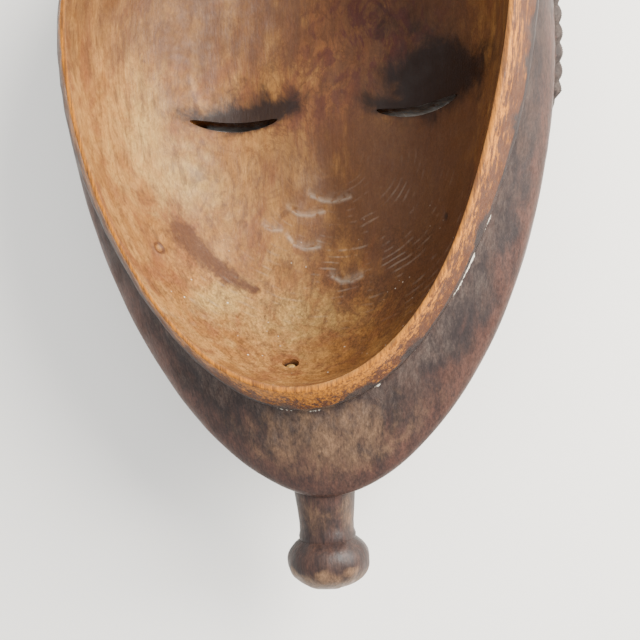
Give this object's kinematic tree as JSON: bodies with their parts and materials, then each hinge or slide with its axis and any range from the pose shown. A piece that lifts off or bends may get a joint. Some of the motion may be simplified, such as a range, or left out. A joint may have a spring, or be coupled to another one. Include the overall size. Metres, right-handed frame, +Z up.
{
  "type": "baule portrait mask",
  "caption": "Carved wooden portrait mask with a hollow back, raw rim, slit eyes, lobed hair edged by a plait, and a knobbed beard, lying on its face",
  "frame": {"origin": "On the ground, under the middle of the mask's bounding box as it lies on its face", "axes": "+Y from the beard to the crown, +Z up out of the hollow back, +X to the right as seen from above with the crown away from the viewer"},
  "size_m": [0.1832, 0.3174, 0.092],
  "materials": {
    "wood": "dark patina outside, raw oiled wood inside"
  },
  "bodies": {
    "root": {"mask": "wood"}
  },
  "joints": []
}
